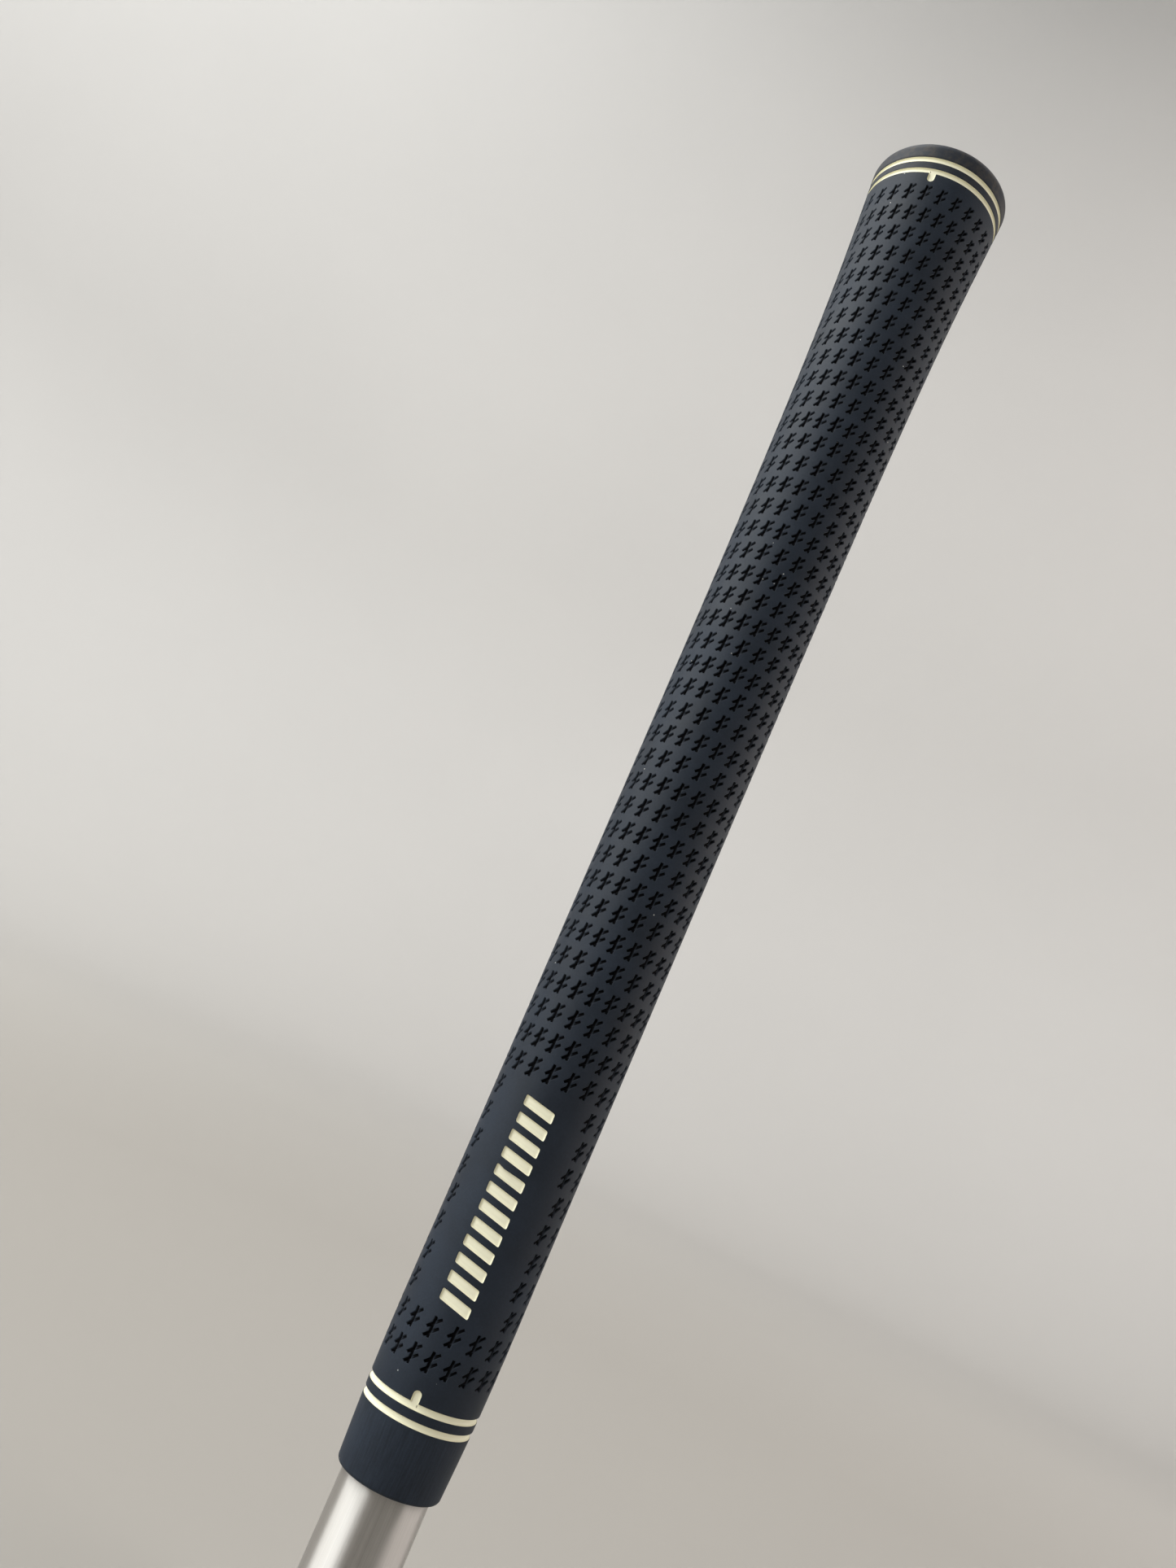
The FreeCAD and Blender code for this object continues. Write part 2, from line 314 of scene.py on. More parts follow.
def mark_loop(width):
    """Outline of one moulded mark, anticlockwise: twenty corners.

    The mark is one upright stroke and two parallel slanted ones. Each free end
    has two corners, and each side of the upright meets each side of a slanted
    stroke in one corner. Signs: 1 is the left side and the stroke's far end.
    """
    half = width / 2

    def axes(ends):
        way = (ends[1] - ends[0]) / np.linalg.norm(ends[1] - ends[0])
        return way, np.array([-way[1], way[0]])

    def tip(ends, sign):
        way, left = axes(ends)
        beyond = ends[(1 + sign) // 2] + sign * way * half * END_REACH
        return beyond - sign * left * half * END_WIDTH, beyond + sign * left * half * END_WIDTH

    def meet(ends, side, upright_side):
        way, left = axes(ends)
        up, up_left = axes(UPRIGHT)
        return crossing(ends[0] + side * left * half, way, UPRIGHT[0] + upright_side * up_left * half, up)

    corners = [*tip(UPRIGHT, 1)]
    for ends in (UPPER_STROKE, LOWER_STROKE):
        corners += [meet(ends, 1, 1), *tip(ends, -1), meet(ends, -1, 1)]
    corners += [*tip(UPRIGHT, -1)]
    for ends in (LOWER_STROKE, UPPER_STROKE):
        corners += [meet(ends, -1, -1), *tip(ends, 1), meet(ends, 1, -1)]
    return np.array(corners)


def mark_places(sizes):
    """Azimuth and height of every moulded mark, row by row from the butt.

    The rows alternate between two series of counts, and the marks of one
    series sit over the gaps of the other. Both series thin out down the
    taper, and the marks in front of the label are left out.
    """
    row = np.arange(sizes.rows)
    odd = row % 2 == 1
    odd_count = ODD_COUNTS[np.searchsorted(ODD_LAST_ROWS, row)]
    even_count = EVEN_COUNTS[np.searchsorted(EVEN_LAST_ROWS, row)]
    count = np.where(odd, odd_count, even_count)
    step = TURN / count
    first = np.cumsum(count) - count
    which = np.repeat(row, count)
    place = np.arange(count.sum()) - first[which]
    height = sizes.top_row - which * sizes.row_pitch
    turn = (place + odd[which] / 2) * step[which]
    turn = (turn + math.pi) % TURN - math.pi
    beside_label = (which >= FIELD_FIRST_ROW) & (which <= FIELD_LAST_ROW)
    kept = ~(beside_label & (np.abs(turn) < math.radians(FIELD_HALF_ANGLE)))
    return (front(height) + turn)[kept], height[kept]


# --- shells ---


class Shell:
    """Points, faces and shade of one piece while it is put together.

    Shade is how much of a finish's second colour shows: 0 on top, 1 deep down. On the rubber
    and along the enamel's edges that second colour is painted shade.
    """

    def __init__(self):
        self.points, self.normals, self.shade = [], [], []
        self.triangles, self.quads = [np.zeros((0, 3), int)], [np.zeros((0, 4), int)]
        self.count = 0

    def add(self, points, normals=None, shade=0.0):
        """Adds points and gives back their numbers in the points' own layout."""
        shape = points.shape[:-1]
        flat = points.reshape(-1, 3)
        numbers = self.count + np.arange(len(flat)).reshape(shape)
        self.count += len(flat)
        self.points.append(flat)
        self.normals.append(np.zeros_like(flat) if normals is None else normals.reshape(-1, 3))
        self.shade.append(np.broadcast_to(shade, shape).reshape(-1))
        return numbers

    def band(self, low, high):
        """Quads between two closed loops of as many numbers, seen where the loops run anticlockwise."""
        ahead_low, ahead_high = np.roll(low, -1, -1), np.roll(high, -1, -1)
        self.quads.append(np.stack([low, ahead_low, ahead_high, high], -1).reshape(-1, 4))

    def mesh(self, name, material, crease):
        """Makes the mesh. Points with no normal of their own take the smooth one of their faces."""
        points = np.concatenate(self.points)
        normals = np.concatenate(self.normals)
        triangles, quads = np.concatenate(self.triangles), np.concatenate(self.quads)
        mesh = bpy.data.meshes.new(name)
        mesh.from_pydata(points.tolist(), [], triangles.tolist() + quads.tolist())
        if mesh.validate():
            raise RuntimeError(name + ": the mesh had to be corrected")
        mesh.shade_smooth()
        shade = mesh.attributes.new("shade", "FLOAT", "POINT")
        shade.data.foreach_set("value", np.concatenate(self.shade).astype(np.float32))
        given = np.linalg.norm(normals, axis=1) > 0.5
        if given.any():
            found = np.zeros(3 * len(points), np.float32)
            mesh.vertex_normals.foreach_get("vector", found)
            normals = np.where(given[:, None], normals, found.reshape(-1, 3))
            mesh.normals_split_custom_set_from_vertices(normals.tolist())
        else:
            mesh.set_sharp_from_angle(angle=math.radians(crease))
        mesh.materials.append(material)
        return mesh

    def finish(self, name, material, slot, *nodes, crease=40):
        """Makes the piece, hangs it under the root body and hides the frame nodes that it replaces."""
        piece = bpy.data.objects.new(name, self.mesh(name, material, crease))
        bpy.context.scene.collection.objects.link(piece)
        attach(piece, "root")
        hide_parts(*nodes)
        return piece


def lathe(profile, columns):
    """A profile of radius and level carried round the axis: points by profile corner and column."""
    profile = np.asarray(profile)
    azimuth = np.arange(columns) * TURN / columns
    return on_axis(azimuth[None, :], profile[:, :1], profile[:, 1:])


def arc(centre, radius, start, end, steps):
    """Points on an arc in the plane of radius and level, angles in degrees."""
    angle = np.radians(np.linspace(start, end, steps))
    return np.stack([centre[0] + radius * np.cos(angle), centre[1] + radius * np.sin(angle)], 1)


# --- rubber sleeve ---


def edge_loop(sizes, centre, way, azimuth, inset, ticked):
    """Azimuths and heights along one edge of a ring groove, anticlockwise from above.

    The edge lies half a groove from the ring's middle, less the inset. With a
    tick it runs out along the tick's side, round its tip and back: the tip is
    a half circle, so azimuth follows the sine and height the cosine of the
    same angle.
    """
    half = sizes.tick_width / 2
    radius = outline(centre)[0]
    beside_tick = half + 0.35 * MM
    gap = TURN - 2 * beside_tick / radius
    ring = azimuth + math.pi + gap * (np.arange(RING_COLUMNS) / (RING_COLUMNS - 1) - 0.5)
    edge = sizes.groove_width / 2 - inset
    height = np.full(RING_COLUMNS + TICK_COLUMNS, centre + way * edge)
    if ticked:
        turn = np.linspace(-0.5, 0.5, TICK_COLUMNS - 2) * math.pi
        across = (half - inset) * np.concatenate([[-1], np.sin(turn), [1]])
        reach = sizes.tick_reach - half
        height[RING_COLUMNS + 1 : -1] = centre + way * (reach + (half - inset) * np.cos(turn))
    else:
        across = np.linspace(-half, half, TICK_COLUMNS)
    return np.concatenate([ring, azimuth + TURN + across / radius]), height


def flat_plan(azimuth, height):
    """Lays the grip out as a flat ring without bending shapes.

    The angle stays, and the distance from the middle is e to the power of
    height over the grip's usual radius, which stretches both ways alike.
    """
    usual_radius = 10.8 * MM
    distance = np.exp(height / usual_radius)
    return np.stack([distance * np.cos(azimuth), distance * np.sin(azimuth)], -1)


def fill_between(azimuth, height, outer, inner, holes, loose):
    """Triangles on the skin between an outer and an inner loop, leaving the holes open.

    A constrained Delaunay triangulation of the flat plan: of all triangles
    those stay that lie inside the outer loop alone.
    """
    used = np.unique(np.concatenate([outer, inner, loose, *[h.ravel() for h in holes]]))
    plan = flat_plan(azimuth[used], height[used] - height[used].min())
    loops = [np.searchsorted(used, loop).tolist() for loop in (outer, inner)]
    for group in holes:
        loops += np.searchsorted(used, group[:, ::-1]).tolist()
    made = geometry.delaunay_2d_cdt(plan.tolist(), [], loops, 0, 1e-9, True)
    if len(made[0]) != len(plan):
        raise RuntimeError("the skin's loops touch")
    alone = np.array([faces == [0] for faces in made[5]])
    return used[np.array(made[2])[alone][:, ::-1]]


def bar_loop(sizes, inset):
    """Outline of one label bar, anticlockwise: a leaning box, each corner rounded through three points."""
    half = sizes.bar_span / 2 - inset
    drop = half * math.tan(BAR_SLANT)
    tall = sizes.bar_thickness / 2 - inset
    lower, upper = [[-half, drop - tall], [half, -drop - tall]], [[half, tall - drop], [-half, drop + tall]]
    corners = np.array([*lower, *upper])
    cut = max(BAR_CORNER - inset / 2, LEAST_BAR_CORNER)
    back = np.roll(corners, 1, 0) - corners
    ahead = np.roll(corners, -1, 0) - corners
    back *= cut / np.linalg.norm(back, axis=1, keepdims=True)
    ahead *= cut / np.linalg.norm(ahead, axis=1, keepdims=True)
    return np.stack([corners + back, corners + (back + ahead) / 4, corners + ahead], 1).reshape(-1, 2)


def bar_levels(sizes):
    """Heights of the bars' middles, spread evenly between the ends that the frame gives."""
    low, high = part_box("label_marks")
    rise = sizes.bar_thickness + sizes.bar_span * math.tan(BAR_SLANT)
    return np.linspace(low.z + rise / 2, high.z - rise / 2, LABEL_BARS) - MOUTH


def on_bars(sizes, inset):
    """Azimuths and heights of every label bar's outline: bars by corners."""
    loop = bar_loop(sizes, inset)
    levels = bar_levels(sizes)[:, None]
    azimuth = LABEL_AZIMUTH + loop[:, 0] / outline(levels)[0]
    return azimuth, levels + loop[:, 1]


def strip_fill(loops):
    """Quads that close loops of evenly many corners: each corner joins the one opposite."""
    last = loops.shape[-1] - 1
    k = np.arange(last // 2)
    quads = [loops[..., k], loops[..., k + 1], loops[..., last - 1 - k], loops[..., last - k]]
    return np.stack(quads, -1).reshape(-1, 4)


def cut_marks(shell, sizes):
    """Walls and floors of every moulded mark. Gives the azimuths, heights and numbers of their rims.

    Three outlines lie under each other: the rim on the skin, the lower edge of
    its rounding, whose normals lean inwards, and the floor, which is deep on
    the left, rises to the right of the upright and dips again at the ends.
    Each outline comes with how far in and how deep it lies, and how much its
    normals lean.
    """
    azimuth, height = mark_places(sizes)
    azimuth, height = azimuth[:, None], height[:, None]
    narrow = np.interp(height, NARROWING_HEIGHTS, NARROWING) / outline(height)[0]
    loop = mark_loop(sizes.stroke_width)
    inward = mitre(loop)
    rim = (-sizes.rim_round, 0.0, 0.0)
    lip = (0.0, sizes.rim_round, 1.5)
    foot = (DRAFT, MARK_DEPTHS * sizes.stroke_depth, 0.35)
    loops = []
    for inset, depth, lean in (rim, lip, foot):
        at = loop + inward * inset
        a, h = azimuth + at[:, 0] * narrow, height + at[:, 1]
        around = np.stack([-np.sin(a), np.cos(a), np.zeros_like(a)], -1)
        towards_middle = inward[:, :1] * around + inward[:, 1:] * np.array([0.0, 0.0, 1.0])
        out = looking_out(a, h) + lean * towards_middle
        out /= np.linalg.norm(out, axis=-1, keepdims=True)
        # the depth's share is the shade attribute: painted shade on the rubber, darker the deeper it lies
        share = np.broadcast_to(depth / sizes.stroke_depth, a.shape)
        loops.append((a, h, shell.add(on_grip(a, h, depth), out, share)))
    shell.band(loops[0][2], loops[1][2])
    shell.band(loops[1][2], loops[2][2])
    floor = geometry.tessellate_polygon([[Vector((*corner, 0.0)) for corner in loop / MM]])
    shell.triangles.append(loops[2][2][:, np.array(floor)].reshape(-1, 3))
    return loops[0]


def recess_steps(sizes):
    """Inset and depth of a painted recess's rim, of its rounding's lower edge and of its foot."""
    return (-sizes.rim_round, 0.0), (0.0, sizes.rim_round), (0.0, sizes.groove_depth)


def cut_bars(shell, sizes):
    """Walls and floors of the label's recesses, and the azimuths, heights and numbers of their rims."""
    loops = []
    for inset, depth in recess_steps(sizes):
        a, h = on_bars(sizes, inset)
        normals = looking_out(a, h) if depth == 0 else None
        # the depth's share paints shade on the rubber down in the recess
        loops.append((a, h, shell.add(on_grip(a, h, depth), normals, depth / sizes.groove_depth)))
    shell.band(loops[0][2], loops[1][2])
    shell.band(loops[1][2], loops[2][2])
    shell.quads.append(strip_fill(loops[2][2]))
    return loops[0]


def groove_edge(sizes, centre, way, azimuth, ticked):
    """The three loops of one side of a ring groove, from the skin down, as azimuth, height and depth."""
    steps = recess_steps(sizes)
    return [(*edge_loop(sizes, centre, way, azimuth, inset, ticked), depth) for inset, depth in steps]


def label_field(sizes):
    """Azimuths and heights of plain points on the smooth field around the label, four to a row's height."""
    levels = bar_levels(sizes)
    azimuth = LABEL_AZIMUTH + np.radians(np.arange(-FIELD_HALF_ANGLE, FIELD_HALF_ANGLE + 1, FIELD_STEP))
    height = sizes.top_row - sizes.row_pitch * np.arange(FIELD_FIRST_ROW - 0.25, FIELD_LAST_ROW + 0.5, 0.25)
    azimuth, height = (grid.ravel() for grid in np.meshgrid(azimuth, height))
    turn = azimuth - front(height)
    across = (azimuth - LABEL_AZIMUTH) * outline(height)[0]
    leaned = height + across * math.tan(BAR_SLANT)
    margin = 0.4 * MM
    room = sizes.bar_thickness / 2 + margin
    beside = np.abs(across) > sizes.bar_span / 2 + margin
    past_ends = (leaned < levels[0] - room) | (leaned > levels[-1] + room)
    clear_of_marks = np.abs(turn) < math.radians(FIELD_HALF_ANGLE - FIELD_CLEARANCE)
    free = clear_of_marks & (beside | past_ends)
    return azimuth[free], height[free]


def plain_points(shell, azimuth, height):
    """Adds points on the smooth skin. Gives their azimuths, heights and numbers."""
    return azimuth, height, shell.add(on_grip(azimuth, height), looking_out(azimuth, height))


def bore_line(sizes):
    """Radius and level down the rubber's inside, from its joint with the cap, and round its mouth."""
    joint, tape_end, bevel = MOUTH + sizes.upper_outer, MOUTH + TAPE_SETBACK, 0.25 * MM
    inside = [(SKIRT_RADIUS, joint), (SKIRT_RADIUS, SKIRT_END)]
    inside += [(CORE_RADIUS, SKIRT_END), (CORE_RADIUS, tape_end)]
    inside += [(SHAFT_RADIUS, tape_end), (SHAFT_RADIUS, MOUTH + bevel), (SHAFT_RADIUS + bevel, MOUTH)]
    rounding = sizes.mouth_round
    corner = arc((outline(0.0)[0] - rounding, MOUTH + rounding), rounding, -90, -6, 7)
    return np.concatenate([inside, corner])


def fill_skin(shell, sizes, marks, bars, gaps, field, top, foot):
    """Fills the skin between the two index rings, in stretches of a few rows each.

    All that lies on the skin comes as azimuths, heights and numbers.
    """
    azimuth, height = np.zeros(shell.count), np.zeros(shell.count)
    for a, h, number in (marks, bars, gaps, field, top, foot):
        azimuth[number], height[number] = a, h
    rings = [top[2], *gaps[2][SKIN_CUTS], foot[2]]
    spans = [-1, *SKIN_CUTS, sizes.rows]
    mark_row = np.round((sizes.top_row - mark_places(sizes)[1]) / sizes.row_pitch)
    for outer, inner, above, below in zip(rings, rings[1:], spans, spans[1:]):
        holes = [marks[2][(mark_row > above) & (mark_row <= below)]]
        loose = gaps[2][above + 1 : below].ravel()
        if below == sizes.rows:
            holes.append(bars[2])
            loose = np.concatenate([loose, field[2]])
        shell.triangles.append(fill_between(azimuth, height, outer, inner, holes, loose))


def build_sleeve(sizes, material):
    """The sleeve: a skin pierced by its marks, closed by loops over the mouth, the bore and the joint."""
    shell = Shell()
    marks = cut_marks(shell, sizes)
    bars = cut_bars(shell, sizes)
    # plain rings of points in the gaps between the rows, and on the label's field
    gap_height = sizes.top_row - sizes.row_pitch * (np.arange(sizes.rows - 1) + 0.5)
    gap_azimuth = np.arange(GAP_COLUMNS) * TURN / GAP_COLUMNS
    gaps = plain_points(shell, *np.meshgrid(gap_azimuth, gap_height))
    field = plain_points(shell, *label_field(sizes))

    # loops from the upper index ring to the joint, down the bore, and from the mouth to the lower index ring
    upper_index, lower_index = sizes.upper_outer - sizes.ring_pitch, sizes.lower_outer + sizes.ring_pitch
    upper_tick, lower_tick = front(upper_index), front(lower_index)
    butt = groove_edge(sizes, upper_index, -1, upper_tick, True)
    butt += groove_edge(sizes, upper_index, 1, upper_tick, False)[::-1]
    butt += groove_edge(sizes, sizes.upper_outer, -1, upper_tick, False)
    joint = edge_loop(sizes, sizes.upper_outer, 1, upper_tick, sizes.groove_width / 2, False)
    butt.append((*joint, sizes.groove_depth))
    azimuth = edge_loop(sizes, sizes.lower_outer, 1, lower_tick, 0.0, False)[0]
    collar = np.linspace(sizes.mouth_round, sizes.lower_outer - sizes.groove_width, 8)
    mouth = [(azimuth, height * np.ones_like(azimuth), 0.0) for height in collar]
    for centre, ticked in ((sizes.lower_outer, False), (lower_index, True)):
        mouth += groove_edge(sizes, centre, -1, lower_tick, False)
        mouth += groove_edge(sizes, centre, 1, lower_tick, ticked)[::-1]

    def add_loop(a, h, depth):
        normals = looking_out(a, h) if depth == 0 else None
        # the depth's share paints shade on the rubber down in the groove
        return shell.add(on_grip(a, h, depth), normals, depth / sizes.groove_depth)

    numbers = [add_loop(*loop) for loop in butt]
    radius, level = bore_line(sizes).T[:, :, None]
    numbers += [*shell.add(on_axis(azimuth, radius, level))]
    numbers += [add_loop(*loop) for loop in mouth]
    for low, high in zip(numbers, numbers[1:]):
        shell.band(low, high)
    top, foot = (*butt[0][:2], numbers[0]), (*mouth[-1][:2], numbers[-1])
    fill_skin(shell, sizes, marks, bars, gaps, field, top, foot)
    return shell.finish("rubber_sleeve", material, "sleeve_rubber", "grip_sleeve")


# --- paint ---


def dish(sizes, inset, half):
    """Depth of the paint at a distance from its edge, steep at first and nearly flat in the middle.

    It goes from the edge's depth to the middle's by one minus the sixth power
    of the share of the way that is left.
    """
    share = np.clip(inset / half, 0, 1)
    return sizes.paint_edge + (sizes.paint_dish - sizes.paint_edge) * (1 - (1 - share) ** 6)


def build_ring(sizes, name, centre, way, ticked, material):
    """One ring of paint: loops from one edge over the dished face to the other, and back under it."""
    shell = Shell()
    azimuth = front(centre)
    half = sizes.groove_width / 2

    def dished(side, tick):
        edges = [edge_loop(sizes, centre, side, azimuth, inset, tick) for inset in RING_INSETS]
        # the last value, one at the groove's edge, sets the enamel's painted edge shade
        return [(*edge, dish(sizes, i, half), 1 - i / half) for edge, i in zip(edges, RING_INSETS)]

    middle = (*edge_loop(sizes, centre, way, azimuth, half, ticked), sizes.paint_dish, 0.0)
    under_far = (*edge_loop(sizes, centre, -way, azimuth, 0.0, False), sizes.groove_depth, 1.0)
    under_near = (*edge_loop(sizes, centre, way, azimuth, 0.0, ticked), sizes.groove_depth, 1.0)
    loops = [*dished(way, ticked), middle, *dished(-way, False)[::-1], under_far, under_near]
    if way > 0:
        loops.reverse()
    numbers = [shell.add(on_grip(a, h, depth), None, edge) for a, h, depth, edge in loops]
    for low, high in zip(numbers, numbers[1:] + numbers[:1]):
        shell.band(low, high)
    return shell.finish(name + "_paint", material, "groove_paint", name)


def build_label(sizes, material):
    """The label's paint: each bar is a dished cushion whose outline shrinks towards its middle."""
    shell = Shell()
    half = sizes.bar_thickness / 2
    loops = []
    for inset in BAR_INSETS:
        a, h = on_bars(sizes, inset)
        # the share, one at the bar's edge, sets the enamel's painted edge shade
        loops.append(shell.add(on_grip(a, h, dish(sizes, inset, half)), None, 1 - inset / half))
    a, h = on_bars(sizes, 0.0)
    under = shell.add(on_grip(a, h, sizes.groove_depth), None, 1.0)
    for low, high in zip([under, *loops], loops):
        shell.band(low, high)
    shell.quads.append(strip_fill(loops[-1]))
    shell.quads.append(strip_fill(under)[:, ::-1])
    return shell.finish("label_paint", material, "groove_paint", "label_marks")


# --- end cap and shaft ---


def build_cap(sizes, material):
    """The end cap, turned from one closed line: groove, rounded edge, dome, dish, vent and inner skirt.

    The dome is one arc that leaves the rounding at the cap's slope, and the
    dish is the same arc lowered. The dish's edge and the vent's edge are each
    rounded through a few points.
    """
    shell = Shell()
    joint = sizes.upper_outer
    far = joint + sizes.groove_width / 2
    edge = OUTLINE_HEIGHTS[-1]
    wall = np.array([far + sizes.rim_round, *np.linspace(far + 0.5 * MM, edge, 5)])
    rounding = arc((BUTT_RADIUS - CAP_ROUNDING, MOUTH + edge), CAP_ROUNDING, 0, 90 - CAP_SLOPE, 12)
    shoulder = rounding[-1]
    dome_radius = shoulder[0] / math.sin(math.radians(CAP_SLOPE))
    crown = shoulder[1] + dome_radius * (1 - math.cos(math.radians(CAP_SLOPE)))

    def dome(radius):
        radius = np.asarray(radius)
        return np.stack([radius, crown - dome_radius + np.sqrt(dome_radius**2 - radius**2)], 1)

    def dome_edge(radius, beyond, below):
        """Points beside an edge: how far beyond its radius, and how far below the dome."""
        points = dome(radius + np.array(beyond) * MM)
        points[:, 1] -= np.array(below) * MM
        return points

    dish_depth = CAP_DISH_DEPTH / MM
    floor_ends = np.array([CAP_DISH_RADIUS - 1.0 * MM, VENT_RADIUS + 0.4 * MM])
    profile = [
        [[outline(joint)[0] - sizes.groove_depth, MOUTH + joint]],
        [[outline(far)[0] - sizes.groove_depth, MOUTH + far]],
        [[outline(far)[0] - sizes.rim_round, MOUTH + far]],
        np.stack([outline(wall)[0], MOUTH + wall], 1),
        rounding[1:],
        dome(np.linspace(shoulder[0] - 0.4 * MM, CAP_DISH_RADIUS + 0.6 * MM, 4)),
        dome_edge(CAP_DISH_RADIUS, [0.30, 0.10, 0.03], [0.0, 0.02, 0.09]),
        dome_edge(CAP_DISH_RADIUS, [-0.05, -0.15, -0.35], dish_depth - np.array([0.08, 0.02, 0.0])),
        dome(np.linspace(*floor_ends, 6)) - np.array([0.0, CAP_DISH_DEPTH]),
        dome_edge(VENT_RADIUS, [0.22, 0.06, 0.0], dish_depth + np.array([0.0, 0.06, 0.22])),
        [[VENT_RADIUS, CAP_FLOOR], [CORE_RADIUS, CAP_FLOOR], [CORE_RADIUS, SKIRT_END]],
        [[SKIRT_RADIUS, SKIRT_END], [SKIRT_RADIUS, MOUTH + joint]],
    ]
    numbers = shell.add(lathe(np.concatenate([np.array(points) for points in profile]), CAP_COLUMNS))
    shell.band(numbers, np.roll(numbers, -1, 0))
    return shell.finish("end_cap", material, "cap_rubber", "butt_cap", crease=50)


def build_shaft(material):
    """The steel tube, turned from one closed line with deburred ends."""
    shell = Shell()
    bore = SHAFT_RADIUS - SHAFT_WALL
    levels = np.linspace(EDGE_BREAK, SHAFT_TOP - EDGE_BREAK, SHAFT_LEVELS)
    outer = np.stack([np.full(SHAFT_LEVELS, SHAFT_RADIUS), levels], 1)
    inner = np.stack([np.full(SHAFT_LEVELS, bore), levels[::-1]], 1)
    top = [[SHAFT_RADIUS - EDGE_BREAK, SHAFT_TOP], [bore + EDGE_BREAK, SHAFT_TOP]]
    foot = [[bore + EDGE_BREAK, 0.0], [SHAFT_RADIUS - EDGE_BREAK, 0.0]]
    numbers = shell.add(lathe(np.concatenate([outer, top, inner, foot]), SHAFT_COLUMNS))
    shell.band(numbers, np.roll(numbers, -1, 0))
    return shell.finish("shaft_tube", material, "shaft_steel", "shaft", crease=30)


# --- finishes ---


def put(tree, kind, inputs=None, **settings):
    """Adds a node, sets it up, and gives its inputs their values or their links.

    The inputs are named or numbered, or a list in the node's own order: value,
    then the range it comes from and the range it goes to, for a map range. A
    node given as a value stands for its first output.
    """
    node = tree.nodes.new("ShaderNode" + kind)
    if isinstance(inputs, list):
        inputs = dict(enumerate(inputs))
    for name, value in settings.items():
        setattr(node, name, value)
    for name, value in (inputs or {}).items():
        source = value.outputs[0] if isinstance(value, bpy.types.Node) else value
        if isinstance(source, bpy.types.NodeSocket):
            tree.links.new(source, node.inputs[name])
        else:
            node.inputs[name].default_value = source
    return node


def every(width):
    """Scale of a pattern whose cells are about this many millimetres wide."""
    return 1 / (width * MM)


def new_material(name):
    """An empty material with its output node, its tree and its object coordinates."""
    material = bpy.data.materials.new(name)
    material.use_nodes = True
    tree = material.node_tree
    tree.nodes.clear()
    place = put(tree, "TexCoord").outputs["Object"]
    return material, tree, place


def finish_with(material, tree, shader):
    """Gives the material its shader."""
    put(tree, "OutputMaterial", {"Surface": shader})
    return material


